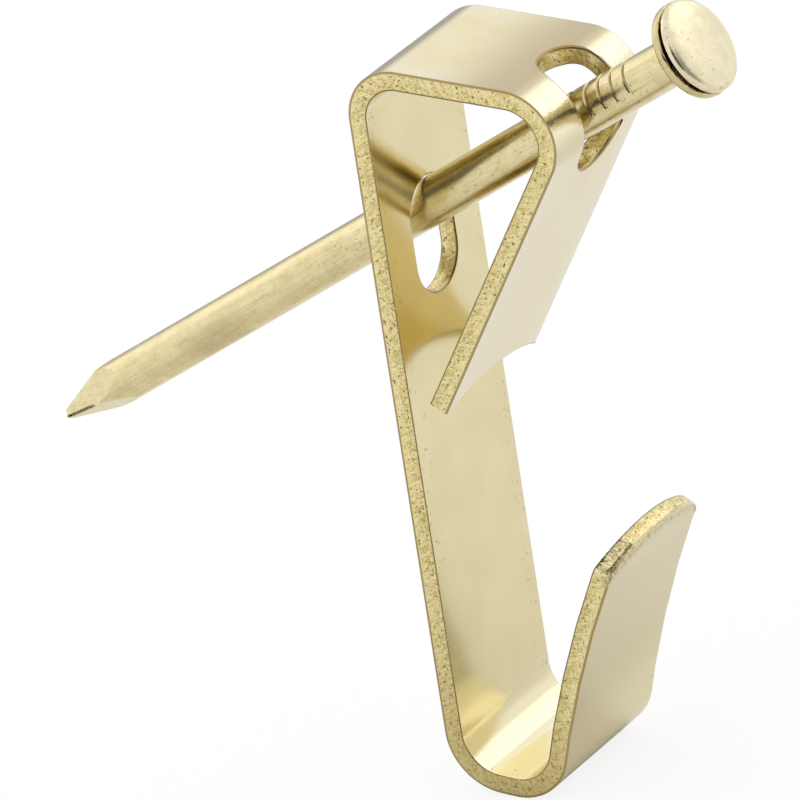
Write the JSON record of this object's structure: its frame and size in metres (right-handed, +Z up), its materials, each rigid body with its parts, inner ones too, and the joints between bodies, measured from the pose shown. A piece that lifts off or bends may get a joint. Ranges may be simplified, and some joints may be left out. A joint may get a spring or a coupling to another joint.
{
  "type": "picture hook",
  "caption": "Picture hook folded from plated steel strip: flat wall plate, slotted front fold that guides a slanting nail, and an upturned lip that holds a frame's wire.",
  "frame": {"origin": "where the nail's axis passes through the plane of the wall, at the middle of the strip's width", "axes": "+Z up the wall, +Y into the wall along the plate's outward normal, +X across the strip; the hook's front faces -Y"},
  "size_m": [0.0094, 0.0447, 0.0449],
  "materials": {
    "plated_strip": "bright pale brass plating on steel strip, duller on the sheared edges",
    "plated_nail": "satin pale brass plating on a drawn steel nail"
  },
  "bodies": {
    "root": {"hook": "plated_strip", "nail": "plated_nail"}
  },
  "joints": []
}
